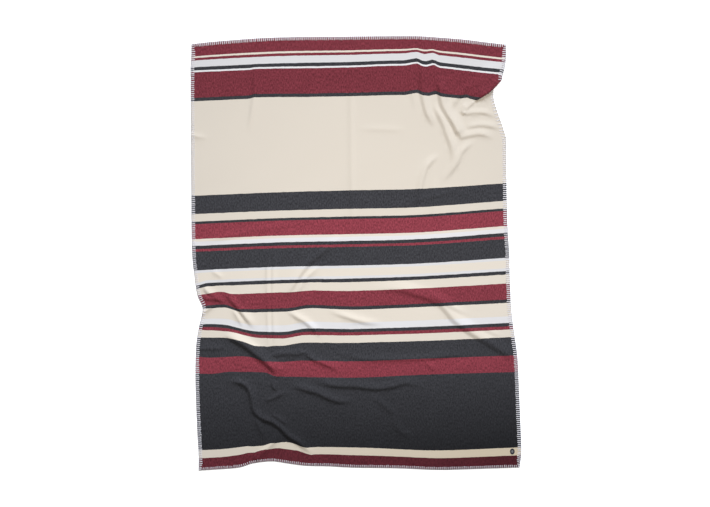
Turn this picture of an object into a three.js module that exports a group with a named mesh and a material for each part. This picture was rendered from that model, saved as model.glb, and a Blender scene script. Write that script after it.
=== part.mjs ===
import * as THREE from 'three';

// A striped wool blanket laid out face up, with the folds it fell into. Millimetres, +X to the right,
// +Y towards the top hem, +Z up. The origin is in the middle of its footprint, on the surface it lies on.

const CLOTH = { width: 1500, length: 2000, thickness: 3 };
const YARN = { radius: 1.5, sides: 8 };
const BADGE = { width: 22, length: 28, thickness: 1.2, bevel: 0.3, x: 720, y: -912 };
const GAP = 0.3;

// How far to each side of a place the cloth's slope there is measured.
const NEARBY = 0.5;

const COLOURS = { cloth: 0xe2d7ca, yarn: 0xb9b6bd, badge: 0x2b2b30 };

// The laid blanket's two side edges, by how far down the cloth from the top hem they are.
const SIDES = [
  { down: 0, left: -756, right: 689 },
  { down: 60, left: -757, right: 688 },
  { down: 110, left: -760, right: 682 },
  { down: 160, left: -760, right: 670 },
  { down: 200, left: -760, right: 680 },
  { down: 260, left: -760, right: 687 },
  { down: 600, left: -757, right: 691 },
  { down: 850, left: -756, right: 696 },
  { down: 1000, left: -752, right: 705 },
  { down: 1090, left: -742, right: 706 },
  { down: 1180, left: -728, right: 710 },
  { down: 1240, left: -705, right: 712 },
  { down: 1330, left: -722, right: 722 },
  { down: 1400, left: -733, right: 732 },
  { down: 1480, left: -737, right: 742 },
  { down: 1600, left: -737, right: 748 },
  { down: 1800, left: -730, right: 756 },
  { down: 1930, left: -723, right: 760 },
  { down: 2000, left: -723, right: 752 },
];

// The top hem's line, by how far across the cloth from its left edge it is.
const TOP_HEM = [
  { across: 0, y: 963 },
  { across: 115, y: 975 },
  { across: 380, y: 993 },
  { across: 760, y: 998 },
  { across: 1070, y: 1000 },
  { across: 1190, y: 993 },
  { across: 1300, y: 984 },
  { across: 1420, y: 970 },
  { across: 1500, y: 961 },
];

// The bottom hem's line, pushed up where the lowest fold runs off it.
const BOTTOM_HEM = [
  { across: 0, y: -998 },
  { across: 80, y: -993 },
  { across: 190, y: -984 },
  { across: 250, y: -966 },
  { across: 340, y: -956 },
  { across: 415, y: -965 },
  { across: 490, y: -975 },
  { across: 610, y: -979 },
  { across: 705, y: -984 },
  { across: 940, y: -988 },
  { across: 1125, y: -995 },
  { across: 1310, y: -990 },
  { across: 1500, y: -984 },
];

// Folds that stand up from the surface. Each has a steep face that reaches `face` to each side of its
// path, and fades over `fade` on the left of its direction of travel. `ends` are the shares of its length
// over which it rises and dies away.
const FOLDS = [
  // From the top hem and the tuck, down through the upper right
  { height: 14, face: 12, fade: 48, ends: [0.25, 0.12],
    path: [[372, 830], [378, 760], [390, 685], [414, 636], [442, 593], [463, 552], [478, 528]] },
  { height: 6, face: 10, fade: 34, ends: [0.1, 0.4],
    path: [[472, 524], [527, 537], [579, 542], [640, 518]] },
  { height: 9, face: 12, fade: 36, ends: [0.25, 0.4],
    path: [[345, 700], [361, 661], [393, 598], [410, 550], [432, 490], [436, 430], [405, 375]] },
  { height: 9, face: 11, fade: 36, ends: [0.2, 0.25],
    path: [[297, 885], [296, 760], [305, 700], [321, 640], [345, 595], [367, 576]] },
  { height: 4, face: 12, fade: 30, ends: [0.3, 0.5], path: [[240, 890], [245, 775], [265, 650]] },
  { height: 7, face: 8, fade: 22, ends: [0.3, 0.1],
    path: [[500, 700], [487, 672], [484, 650], [498, 636]] },
  { height: 5.5, face: 9, fade: 28, ends: [0.1, 0.4],
    path: [[492, 636], [546, 642], [598, 640], [650, 618]] },
  { height: 6, face: 7, fade: 18, ends: [0.3, 0.3], path: [[505, 650], [525, 675], [555, 705]] },
  { height: 5, face: 10, fade: 30, ends: [0.3, 0.3],
    path: [[497, 568], [536, 579], [579, 584], [631, 577], [668, 563]] },
  { height: 7, face: 11, fade: 32, ends: [0.4, 0.3],
    path: [[395, 315], [430, 355], [470, 410], [500, 470], [555, 515]] },
  { height: 8, face: 11, fade: 32, ends: [0.3, 0.3],
    path: [[300, 210], [300, 270], [315, 345], [340, 405], [395, 455]] },
  { height: 6, face: 12, fade: 32, ends: [0.3, 0.3],
    path: [[440, 650], [470, 705], [500, 740], [560, 790]] },
  // Upper left
  { height: 5, face: 10, fade: 30, ends: [0.3, 0.4], path: [[-475, 880], [-478, 715], [-510, 550]] },
  // Middle, between the two sides
  { height: 8, face: 11, fade: 34, ends: [0.3, 0.4],
    path: [[-345, -235], [-295, -170], [-225, -65], [-145, 0], [-40, 90]] },
  { height: 5, face: 9, fade: 22, ends: [0.3, 0.4], path: [[-275, -215], [-225, -120], [-145, -50]] },
  { height: 7, face: 11, fade: 30, ends: [0.3, 0.4],
    path: [[-330, -265], [-275, -300], [-220, -335], [-155, -405]] },
  { height: 6, face: 11, fade: 30, ends: [0.4, 0.4],
    path: [[-145, -265], [-30, -305], [50, -325], [140, -330]] },
  { height: 4, face: 7, fade: 24, ends: [0.2, 0.2], path: [[-414, 50], [-414, -215], [-408, -460]] },
  { height: 4, face: 7, fade: 24, ends: [0.2, 0.2], path: [[-386, 50], [-388, -215], [-382, -440]] },
  // Left edge, where the side is pushed in
  { height: 7, face: 9, fade: 26, ends: [0.3, 0.3],
    path: [[-715, -140], [-690, -180], [-660, -200], [-600, -240]] },
  { height: 6, face: 8, fade: 20, ends: [0.1, 0.4], path: [[-710, -210], [-670, -215], [-615, -220]] },
  { height: 9, face: 10, fade: 32, ends: [0.3, 0.3],
    path: [[-615, -185], [-570, -230], [-520, -290], [-470, -355]] },
  { height: 5, face: 8, fade: 20, ends: [0.4, 0.4], path: [[-580, -255], [-555, -290], [-525, -345]] },
  { height: 7, face: 8, fade: 20, ends: [0.2, 0.4], path: [[-715, -295], [-690, -270], [-645, -245]] },
  // The big fold on the lower left, and those that spread from its foot
  { height: 15, face: 13, fade: 50, ends: [0.25, 0.15],
    path: [[-625, -380], [-562, -406], [-515, -433], [-475, -465], [-430, -500], [-390, -537],
      [-372, -570]] },
  { height: 5, face: 10, fade: 24, ends: [0.1, 0.5], path: [[-735, -445], [-655, -445], [-575, -450]] },
  { height: 7, face: 10, fade: 28, ends: [0.2, 0.2],
    path: [[-402, -486], [-341, -470], [-271, -469], [-240, -458], [-233, -430]] },
  { height: 8, face: 10, fade: 30, ends: [0.2, 0.4],
    path: [[-245, -440], [-215, -485], [-135, -520], [-65, -555]] },
  { height: 8, face: 8, fade: 20, ends: [0.3, 0.3], path: [[-379, -575], [-388, -605], [-374, -640]] },
  { height: 5, face: 8, fade: 18, ends: [0.3, 0.3], path: [[-380, -585], [-350, -560], [-335, -510]] },
  { height: 10, face: 11, fade: 36, ends: [0.3, 0.3],
    path: [[-318, -606], [-271, -624], [-224, -638], [-176, -652], [-106, -683], [-51, -690],
      [0, -682]] },
  { height: 9, face: 11, fade: 36, ends: [0.2, 0.3],
    path: [[-205, -590], [-105, -615], [-5, -620], [95, -630], [170, -620], [240, -605],
      [335, -635]] },
  { height: 7, face: 9, fade: 20, ends: [0.3, 0.3],
    path: [[-425, -686], [-393, -678], [-346, -655], [-318, -640]] },
  { height: 13, face: 12, fade: 24, ends: [0.15, 0.2],
    path: [[-600, -590], [-565, -598], [-525, -607], [-501, -629], [-487, -671], [-480, -715],
      [-463, -745], [-430, -768], [-388, -784], [-350, -812], [-313, -848], [-272, -873],
      [-235, -903], [-200, -938]] },
  { height: 5, face: 9, fade: 22, ends: [0.3, 0.3], path: [[-405, -740], [-359, -767], [-313, -800]] },
  { height: 8, face: 12, fade: 26, ends: [0.3, 0.1],
    path: [[-372, -805], [-385, -855], [-420, -895], [-459, -928], [-475, -955]] },
  { height: 6, face: 10, fade: 28, ends: [0.3, 0.3],
    path: [[-115, -455], [10, -490], [125, -495], [325, -490], [400, -480], [560, -475]] },
  // From the middle down to the right edge
  { height: 9, face: 14, fade: 55, ends: [0.3, 0.1],
    path: [[45, -175], [195, -175], [265, -195], [375, -235], [455, -320], [570, -400],
      [695, -475], [735, -505]] },
  { height: 5, face: 11, fade: 30, ends: [0.3, 0.4], path: [[310, -175], [395, -225], [525, -300]] },
  { height: 5, face: 14, fade: 34, ends: [0.4, 0.4],
    path: [[161, -737], [182, -811], [224, -843], [267, -870]] },
];

// The tuck at the upper right: the cloth rises over `rise`, doubles back under itself along a slanting
// edge and comes out again below. Its depth grows from nothing at its inner end to `depth` at the side.
const TUCK = {
  inner: new THREE.Vector2(558, 707),
  outer: new THREE.Vector2(666, 795),
  bulge: 9,
  depth: 45,
  bend: 7,
  rise: 60,
  growsFrom: -18,
  growsTo: 67,
};

// How closely the cloth's facets follow it: how far apart their corners are and the least between two,
// and how far a facet on the rim may stray.
const FACETS = {
  open: 100,
  leastOpen: 45,
  alongFold: 32,
  least: 7,
  alongTuck: 8,
  leastInTuck: 1.75,
  bendSteps: 4,
  rimStray: 0.25,
  leastOnRim: 2,
};

// Which way is out of the cloth at each side.
const SIDE_WAYS = {
  top: { across: 0, down: -1 },
  left: { across: -1, down: 0 },
  bottom: { across: 0, down: 1 },
  right: { across: 1, down: 0 },
};

function smoothstep(t) {
  const k = Math.min(1, Math.max(0, t));
  return k * k * (3 - 2 * k);
}

// A smooth line through a table's rows: the value of column `name` where column `by` is `at`.
function readTable(rows, by, name, at) {
  const last = rows.length - 1;
  let i = 0;
  while (i < last - 1 && rows[i + 1][by] < at) i += 1;
  const slope = (a, b) => (rows[b][name] - rows[a][name]) / (rows[b][by] - rows[a][by]);
  const span = rows[i + 1][by] - rows[i][by];
  const startSlope = slope(Math.max(0, i - 1), i + 1) * span;
  const endSlope = slope(i, Math.min(last, i + 2)) * span;
  const t = (at - rows[i][by]) / span;
  const a = rows[i][name];
  const b = rows[i + 1][name];
  const rising = t * t * (3 - 2 * t);
  return a + (b - a) * rising + startSlope * t * (1 - t) * (1 - t) - endSlope * t * t * (1 - t);
}

// Where a point of the cloth lies before the tuck is made, seen from above.
function outlinePoint(across, down) {
  const acrossShare = across / CLOTH.width;
  const downShare = down / CLOTH.length;
  const left = readTable(SIDES, 'down', 'left', down);
  const right = readTable(SIDES, 'down', 'right', down);
  const top = readTable(TOP_HEM, 'across', 'y', across);
  const bottom = readTable(BOTTOM_HEM, 'across', 'y', across);
  return new THREE.Vector2(left + (right - left) * acrossShare, top + (bottom - top) * downShare);
}

// The place on the flat cloth that lies at a point of the outline, found by closing in on it.
function outlinePlace(point) {
  let across = CLOTH.width / 2;
  let down = CLOTH.length / 2;
  for (let pass = 0; pass < 6; pass += 1) {
    const left = readTable(SIDES, 'down', 'left', down);
    const right = readTable(SIDES, 'down', 'right', down);
    const top = readTable(TOP_HEM, 'across', 'y', across);
    const bottom = readTable(BOTTOM_HEM, 'across', 'y', across);
    across = ((point.x - left) / (right - left)) * CLOTH.width;
    down = ((top - point.y) / (top - bottom)) * CLOTH.length;
  }
  return { across, down };
}

// A fold's path as short straight steps, with the length run at the start of each.
function tracePath(fold) {
  const curve = new THREE.SplineCurve(fold.path.map(([x, y]) => new THREE.Vector2(x, y)));
  const points = curve.getPoints(6 * (fold.path.length - 1));
  const steps = [];
  let run = 0;
  for (let i = 0; i + 1 < points.length; i += 1) {
    const along = points[i + 1].clone().sub(points[i]);
    steps.push({ from: points[i], along, run, length: along.length() });
    run += along.length();
  }
  const box = new THREE.Box2().setFromPoints(points).expandByScalar(fold.face + fold.fade);
  return { ...fold, steps, box, length: run };
}

const TRACED_FOLDS = FOLDS.map(tracePath);

function foldHeight(fold, point) {
  if (!fold.box.containsPoint(point)) return 0;
  let nearest = Infinity;
  let offset = 0;
  let share = 0;
  for (const step of fold.steps) {
    const toPoint = point.clone().sub(step.from);
    const t = THREE.MathUtils.clamp(toPoint.dot(step.along) / step.length ** 2, 0, 1);
    const distance = toPoint.distanceTo(step.along.clone().multiplyScalar(t));
    if (distance < nearest) {
      nearest = distance;
      offset = distance * Math.sign(step.along.cross(toPoint));
      share = (step.run + t * step.length) / fold.length;
    }
  }
  const up = smoothstep((offset + fold.face) / (2 * fold.face));
  const away = 1 - smoothstep((offset - 0.6 * fold.face) / fold.fade);
  const ends = smoothstep(share / fold.ends[0]) * smoothstep((1 - share) / fold.ends[1]);
  return fold.height * up * away * ends;
}

// How a strip of cloth runs through the tuck: it turns over on a half circle, runs back for about
// `depth`, and turns again. Given a length along the strip, says how far it has travelled forwards and
// how far it has dropped. A shallow tuck turns less than half a circle and doesn't overlap.
function tuckStrip(length, depth) {
  const radius = TUCK.bend / 2;
  const halfCircle = Math.PI * radius;
  const turning = Math.min(depth, halfCircle);
  const steepest = turning / radius;
  const straight = Math.max(depth, halfCircle) - turning;
  const first = THREE.MathUtils.clamp(length, 0, turning) / radius;
  const middle = THREE.MathUtils.clamp(length - turning, 0, straight);
  const second = THREE.MathUtils.clamp(length - turning - straight, 0, turning) / radius;
  const after = Math.max(0, length - 2 * turning - straight);
  const turned = { travel: Math.sin(steepest), drop: 1 - Math.cos(steepest) };
  const left = steepest - second;
  return {
    travel: radius * (Math.sin(first) + turned.travel - Math.sin(left)) + middle * Math.cos(steepest) + after,
    drop: radius * (1 - Math.cos(first) + turned.drop - (1 - Math.cos(left))) + middle * Math.sin(steepest),
  };
}

const TUCK_RUN = TUCK.outer.clone().sub(TUCK.inner);
const TUCK_EDGE = TUCK_RUN.clone().normalize();
const TUCK_OUTWARD = new THREE.Vector2(TUCK_EDGE.y, -TUCK_EDGE.x);
const TUCK_STRIP = 2 * Math.PI * TUCK.bend;

// Where a point is beside the tuck: along its edge from the inner end, beyond where it starts to turn.
function besideTuck(point) {
  const fromInner = point.clone().sub(TUCK.inner);
  const along = fromInner.dot(TUCK_EDGE);
  const depth = TUCK.depth * smoothstep((along - TUCK.growsFrom) / (TUCK.growsTo - TUCK.growsFrom));
  const bow = TUCK.bulge * Math.sin(Math.PI * THREE.MathUtils.clamp(along / TUCK_RUN.length(), 0, 1));
  return { along, depth, bow, beyond: fromInner.dot(TUCK_OUTWARD) - bow + TUCK.bend / 2 };
}

// Moves a flat point through the tuck, and says how high its layer lies above the surface.
function throughTuck(point) {
  const { depth, beyond } = besideTuck(point);
  const strip = tuckStrip(Math.max(0, beyond), depth);
  const wholeDrop = tuckStrip(TUCK_STRIP + depth, depth).drop;
  const raised = wholeDrop * smoothstep(1 + (beyond + depth) / TUCK.rise);
  const moved = beyond > 0 ? strip.travel - beyond : 0;
  return { point: point.clone().addScaledVector(TUCK_OUTWARD, moved), layer: raised - strip.drop };
}

// Where a point seen below the tuck's edge lies before the tuck is made.
function beforeTuck(point) {
  const { depth, beyond } = besideTuck(point);
  const strip = TUCK_STRIP + depth;
  const takenUp = beyond > 0 ? strip - tuckStrip(strip, depth).travel : 0;
  return point.clone().addScaledVector(TUCK_OUTWARD, takenUp);
}

// The middle of the cloth's thickness at a place given across and down the flat cloth.
function clothPoint(across, down) {
  const { point, layer } = throughTuck(outlinePoint(across, down));
  const relief = TRACED_FOLDS.reduce((sum, fold) => sum + foldHeight(fold, point), 0);
  return new THREE.Vector3(point.x, point.y, CLOTH.thickness / 2 + layer + relief);
}

// Square to the cloth's face at a place.
function clothNormal(across, down) {
  const rightwards = clothPoint(across + NEARBY, down).sub(clothPoint(across - NEARBY, down));
  const upwards = clothPoint(across, down - NEARBY).sub(clothPoint(across, down + NEARBY));
  return rightwards.cross(upwards).normalize();
}

// Places on the flat cloth for the facets' corners. Each new one keeps clear of those before it.
class Places {
  constructor() {
    this.list = [];
  }

  add({ across, down }, least) {
    const inside = across >= 0 && across <= CLOTH.width && down >= 0 && down <= CLOTH.length;
    const isNear = (place) => Math.hypot(place.across - across, place.down - down) < least;
    if (inside && !this.list.some(isNear)) this.list.push({ across, down });
  }

  // A stretch of the rim, halved where the laid rim bends.
  addRim(from, to) {
    const middle = { across: (from.across + to.across) / 2, down: (from.down + to.down) / 2 };
    const [start, end] = [from, to].map(({ across, down }) => clothPoint(across, down));
    const isStraight = [0.25, 0.5, 0.75].every((share) => {
      const across = from.across + (to.across - from.across) * share;
      const down = from.down + (to.down - from.down) * share;
      return clothPoint(across, down).distanceTo(start.clone().lerp(end, share)) < FACETS.rimStray;
    });
    const length = Math.hypot(to.across - from.across, to.down - from.down);
    if (length < FACETS.open && (isStraight || length < FACETS.leastOnRim)) {
      this.add(from, 0);
      return;
    }
    this.addRim(from, middle);
    this.addRim(middle, to);
  }

  // Rows of corners along a fold: at its foot, at its crest, and twice where it fades.
  addFold(fold) {
    const foot = -0.8 * fold.face;
    const crest = 0.8 * fold.face;
    const halfFaded = 0.6 * fold.face + 0.45 * fold.fade;
    const faded = fold.face + 0.9 * fold.fade;
    const curve = new THREE.SplineCurve(fold.path.map(([x, y]) => new THREE.Vector2(x, y)));
    const steps = Math.max(3, Math.round(fold.length / FACETS.alongFold));
    for (let i = 0; i <= steps; i += 1) {
      const tangent = curve.getTangentAt(i / steps);
      const leftwards = new THREE.Vector2(-tangent.y, tangent.x);
      for (const offset of [foot, crest, halfFaded, faded]) {
        const point = curve.getPointAt(i / steps).addScaledVector(leftwards, offset);
        this.add(outlinePlace(beforeTuck(point)), FACETS.least);
      }
    }
  }

  // Rows of corners along the tuck's two bends, and on the slope that rises to it.
  addTuck() {
    const halfCircle = (Math.PI * TUCK.bend) / 2;
    for (let along = TUCK.growsFrom; along < TUCK_RUN.length() + TUCK.depth; along += FACETS.alongTuck) {
      const onEdge = TUCK.inner.clone().addScaledVector(TUCK_EDGE, along);
      const { depth, bow } = besideTuck(onEdge);
      const turning = Math.min(depth, halfCircle);
      const secondBend = Math.max(depth, halfCircle);
      const beyonds = [0, 0.3, 0.7, 1].map((share) => -depth - share * TUCK.rise);
      for (let k = 0; k <= FACETS.bendSteps; k += 1) {
        beyonds.push((turning * k) / FACETS.bendSteps, secondBend + (turning * k) / FACETS.bendSteps);
      }
      for (const beyond of beyonds) {
        const point = onEdge.clone().addScaledVector(TUCK_OUTWARD, beyond + bow - TUCK.bend / 2);
        this.add(outlinePlace(point), FACETS.leastInTuck);
      }
    }
  }

  addOpenCloth() {
    for (let down = FACETS.open / 2; down < CLOTH.length; down += FACETS.open) {
      for (let across = FACETS.open / 2; across < CLOTH.width; across += FACETS.open) {
        this.add({ across, down }, FACETS.leastOpen);
      }
    }
  }
}

function clothPlaces() {
  const places = new Places();
  const corners = [[0, 0], [0, CLOTH.length], [CLOTH.width, CLOTH.length], [CLOTH.width, 0]];
  corners.forEach(([across, down], i) => {
    const [nextAcross, nextDown] = corners[(i + 1) % corners.length];
    places.addRim({ across, down }, { across: nextAcross, down: nextDown });
  });
  places.addTuck();
  TRACED_FOLDS.forEach((fold) => places.addFold(fold));
  places.addOpenCloth();
  return places.list;
}

// The circle through three places, as its middle and the square of its radius.
function circleThrough(a, b, c) {
  const [bx, by, cx, cy] = [b.across - a.across, b.down - a.down, c.across - a.across, c.down - a.down];
  const twiceArea = 2 * (bx * cy - by * cx);
  const x = (cy * (bx * bx + by * by) - by * (cx * cx + cy * cy)) / twiceArea;
  const y = (bx * (cx * cx + cy * cy) - cx * (bx * bx + by * by)) / twiceArea;
  return { across: a.across + x, down: a.down + y, squared: x * x + y * y };
}

// Joins the places by triangles so that no triangle's circle holds another place. Each place in turn
// opens a hole, where the circles hold it, and is joined to the hole's rim.
function joinPlaces(places) {
  const far = 50 * CLOTH.length;
  const frame = [{ across: -far, down: -far }, { across: far, down: -far }, { across: 0, down: far }];
  const all = [...places, ...frame];
  const count = places.length;
  const triangle = (a, b, c) => ({ corners: [a, b, c], circle: circleThrough(all[a], all[b], all[c]) });
  let triangles = [triangle(count, count + 1, count + 2)];
  places.forEach((place, index) => {
    const holds = ({ circle }) => (place.across - circle.across) ** 2 + (place.down - circle.down) ** 2
      < circle.squared;
    const opened = triangles.filter(holds);
    const sides = opened.flatMap(({ corners: [a, b, c] }) => [[a, b], [b, c], [c, a]]);
    const isInside = ([a, b]) => sides.some(([p, q]) => p === b && q === a);
    const rim = sides.filter((side) => !isInside(side));
    triangles = triangles.filter((one) => !holds(one));
    triangles.push(...rim.map(([a, b]) => triangle(a, b, index)));
  });
  return triangles.map(({ corners }) => corners).filter((corners) => corners.every((i) => i < count));
}

// The cloth's facets. Its places run down the cloth, so turned triangles face up.
function clothFacets() {
  const places = clothPlaces().map(({ across, down }) => ({
    across, down, point: clothPoint(across, down), normal: clothNormal(across, down),
  }));
  const triangles = joinPlaces(places).map(([a, b, c]) => [a, c, b]);
  const directed = new Set(triangles.flatMap(([a, b, c]) => [`${a},${b}`, `${b},${c}`, `${c},${a}`]));
  const isRim = (step) => !directed.has(step.split(',').reverse().join(','));
  const rim = [...directed].filter(isRim).map((step) => step.split(',').map(Number));
  return { places, triangles, rim };
}

function meshGeometry(points, triangles) {
  const geometry = new THREE.BufferGeometry().setFromPoints(points);
  geometry.setIndex(triangles.flat());
  geometry.computeVertexNormals();
  return geometry;
}

// The cloth as a solid: its face and its back, each half the thickness from the middle, and the rim.
function clothGeometry({ places, triangles, rim }) {
  const half = CLOTH.thickness / 2;
  const count = places.length;
  const face = places.map(({ point, normal }) => point.clone().addScaledVector(normal, half));
  const back = places.map(({ point, normal }) => point.clone().addScaledVector(normal, -half));
  const backTriangles = triangles.map(([a, b, c]) => [a + count, c + count, b + count]);
  const rimTriangles = rim.flatMap(([p, q]) => [[q, p, p + count], [q, p + count, q + count]]);
  return meshGeometry([...face, ...back], [...triangles, ...backTriangles, ...rimTriangles]);
}

// The corners along one side of the cloth, in the direction that keeps the cloth on the left.
function sidePlaces(places, way) {
  const reach = (place) => way.across * place.across + way.down * place.down;
  const progress = (place) => way.down * place.across - way.across * place.down;
  const furthest = Math.max(...places.map(reach));
  const onSide = places.filter((place) => reach(place) === furthest);
  return onSide.sort((a, b) => progress(a) - progress(b));
}

// One side's edging yarn, lying along the rim just clear of it and never below the surface.
function yarnGeometry(places, way) {
  const last = places.length - 1;
  const points = [];
  const triangles = [];
  places.forEach(({ across, down, point, normal }, i) => {
    const before = clothPoint(across - way.down * NEARBY, down + way.across * NEARBY);
    const after = clothPoint(across + way.down * NEARBY, down - way.across * NEARBY);
    const forwards = after.sub(before).normalize();
    const outward = forwards.clone().cross(normal).normalize();
    const centre = point.clone().addScaledVector(outward, GAP + YARN.radius);
    if (i === 0) centre.addScaledVector(forwards, GAP);
    if (i === last) centre.addScaledVector(forwards, -GAP);
    centre.z = Math.max(centre.z, YARN.radius);
    for (let k = 0; k < YARN.sides; k += 1) {
      const angle = (2 * Math.PI * (k + 0.5)) / YARN.sides;
      const ring = centre.clone().addScaledVector(outward, YARN.radius * Math.cos(angle));
      points.push(ring.addScaledVector(normal, YARN.radius * Math.sin(angle)));
    }
  });
  for (let k = 0; k < YARN.sides; k += 1) {
    const next = (k + 1) % YARN.sides;
    for (let i = 0; i < last; i += 1) {
      const [near, far] = [i * YARN.sides, (i + 1) * YARN.sides];
      triangles.push([near + k, far + k, far + next], [near + k, far + next, near + next]);
    }
    if (k > 1) {
      const end = last * YARN.sides;
      triangles.push([0, k - 1, k], [end, end + k, end + k - 1]);
    }
  }
  return meshGeometry(points, triangles);
}

function badgeGeometry() {
  const outline = new THREE.Shape();
  outline.absellipse(0, 0, BADGE.width / 2 - BADGE.bevel, BADGE.length / 2 - BADGE.bevel, 0, 2 * Math.PI);
  const geometry = new THREE.ExtrudeGeometry(outline, {
    depth: BADGE.thickness - 2 * BADGE.bevel,
    bevelThickness: BADGE.bevel,
    bevelSize: BADGE.bevel,
    bevelSegments: 1,
    curveSegments: 16,
  });
  return geometry.translate(BADGE.x, BADGE.y, CLOTH.thickness + GAP + BADGE.bevel);
}

function namedMesh(name, geometry, color, roughness) {
  const material = new THREE.MeshStandardMaterial({ color, roughness, metalness: 0 });
  const mesh = new THREE.Mesh(geometry, material);
  mesh.name = name;
  return mesh;
}

function buildBlanket() {
  const cloth = clothFacets();
  const blanket = new THREE.Group();
  blanket.add(namedMesh('blanket_cloth', clothGeometry(cloth), COLOURS.cloth, 0.95));
  for (const [side, way] of Object.entries(SIDE_WAYS)) {
    const yarn = yarnGeometry(sidePlaces(cloth.places, way), way);
    blanket.add(namedMesh(`edge_yarn_${side}`, yarn, COLOURS.yarn, 0.9));
  }
  blanket.add(namedMesh('corner_badge', badgeGeometry(), COLOURS.badge, 0.7));
  const middle = new THREE.Box3().setFromObject(blanket).getCenter(new THREE.Vector3());
  blanket.position.set(-middle.x, -middle.y, 0);
  return blanket;
}

export default buildBlanket();
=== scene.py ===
import math
from typing import NamedTuple

import bmesh
import bpy
import numpy as np
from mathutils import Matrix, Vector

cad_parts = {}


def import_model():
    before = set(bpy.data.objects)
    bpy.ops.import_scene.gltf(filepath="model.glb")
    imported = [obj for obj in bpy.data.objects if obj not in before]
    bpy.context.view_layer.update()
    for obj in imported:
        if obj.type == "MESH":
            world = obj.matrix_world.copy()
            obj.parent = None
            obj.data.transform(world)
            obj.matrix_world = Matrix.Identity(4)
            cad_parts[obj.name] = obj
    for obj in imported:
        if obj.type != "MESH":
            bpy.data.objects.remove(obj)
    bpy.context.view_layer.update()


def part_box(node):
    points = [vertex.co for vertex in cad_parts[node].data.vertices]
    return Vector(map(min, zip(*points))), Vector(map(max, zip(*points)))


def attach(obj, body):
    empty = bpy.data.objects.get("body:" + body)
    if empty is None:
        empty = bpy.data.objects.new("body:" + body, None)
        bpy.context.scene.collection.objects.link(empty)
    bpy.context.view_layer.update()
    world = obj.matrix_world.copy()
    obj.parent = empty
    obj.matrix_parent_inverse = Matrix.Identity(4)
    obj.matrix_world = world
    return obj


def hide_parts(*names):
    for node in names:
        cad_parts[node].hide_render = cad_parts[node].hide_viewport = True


# A striped wool blanket laid out face up on a pale floor. Sizes and places are in millimetres until a mesh
# is made: x to the right, y towards the top hem, z up from the floor, from the middle of the laid blanket.

MM = 0.001
CLOTH_WIDTH = 1500.0
CLOTH_LENGTH = 2000.0
CLOTH_THICKNESS = 3.0

# The middle of the laid cloth's box, by the tables below. The frame says where that middle really lies.
TABLES_MIDDLE = (-0.063, 1.164)


class Side(NamedTuple):
    """How far the laid cloth reaches to the left and right, at a distance down its length."""

    down: float
    left: float
    right: float


class Hem(NamedTuple):
    """How far up a hem lies, at a distance across the cloth."""

    across: float
    y: float


class Bend(NamedTuple):
    """How far up the stripes lie at five shares of the way across, at a distance down their run."""

    down: float
    at_left: float
    at_quarter: float
    at_middle: float
    at_three_quarters: float
    at_right: float


class Fold(NamedTuple):
    """A raised fold: steep over `face` to each side of its path, fading over `fade` on the left of it.

    It rises and sinks again over `ends`, its first and last shares of the path.
    """

    height: float
    face: float
    fade: float
    ends: tuple
    path: tuple


class Push(Fold):
    """How far the stripes are pushed up on the left of a path, by cloth that is gathered there."""


class Stripe(NamedTuple):
    """One woven stripe. Its tone is how light it is beside the plain colour of its yarn: partly the yarn's
    own, and partly painted light and shade where the light over the cloth is stronger or weaker.
    """

    width: float
    yarn: str
    tone: float


class Stitching(NamedTuple):
    """One side's stitches: the way out of the flat cloth, across and down, and the size of their bars."""

    way: tuple
    bar_length: float
    half_width: float


class RoutePoint(NamedTuple):
    """A place on a stitch: its share of the way in from the rim, and its height over the cloth's core."""

    share: float
    above: float


class Ring(NamedTuple):
    """One ring of the badge: its share of the way out, and its height over the cloth."""

    share: float
    height: float


class Shades(NamedTuple):
    """The two colours between which a material is mottled."""

    dark: tuple
    light: tuple


SIDES = (
    Side(0, -756, 689),
    Side(60, -757, 688),
    Side(110, -760, 682),
    Side(160, -760, 670),
    Side(200, -760, 680),
    Side(260, -760, 687),
    Side(600, -757, 691),
    Side(850, -756, 696),
    Side(1000, -752, 705),
    Side(1090, -742, 706),
    Side(1180, -728, 710),
    Side(1240, -705, 712),
    Side(1330, -722, 722),
    Side(1400, -733, 732),
    Side(1480, -737, 742),
    Side(1600, -737, 748),
    Side(1800, -730, 756),
    Side(1930, -723, 760),
    Side(2000, -723, 752),
)

TOP_HEM = (
    Hem(0, 963),
    Hem(115, 975),
    Hem(380, 993),
    Hem(760, 998),
    Hem(1070, 1000),
    Hem(1190, 993),
    Hem(1300, 984),
    Hem(1420, 970),
    Hem(1500, 961),
)

BOTTOM_HEM = (
    Hem(0, -998),
    Hem(80, -993),
    Hem(190, -984),
    Hem(250, -966),
    Hem(340, -956),
    Hem(415, -965),
    Hem(490, -975),
    Hem(610, -979),
    Hem(705, -984),
    Hem(940, -988),
    Hem(1125, -995),
    Hem(1310, -990),
    Hem(1500, -984),
)

# The stripes run a little uphill and downhill on the laid cloth.
BEND_SHARES = (0, 0.27, 0.5, 0.72, 1)
BENDS = (
    Bend(0, -35, -7, -2, -3, -42),
    Bend(131, -33, -17, -10, -3, -45),
    Bend(260, -38, -21, -14, -10, -45),
    Bend(698, -35, -19, -10, -3, 23),
    Bend(1044, -31, -14.5, -8.5, 1, 28),
    Bend(1243, -31, -22, -13, 0, 19),
    Bend(1407, 8, -19, -5, 4, 22),
    Bend(1561, 10, -4, -9, 5, 17),
    Bend(1911, 8, 19, 19, 6, 21),
    Bend(2000, 2, 12, 11, 2, 14),
)

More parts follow.
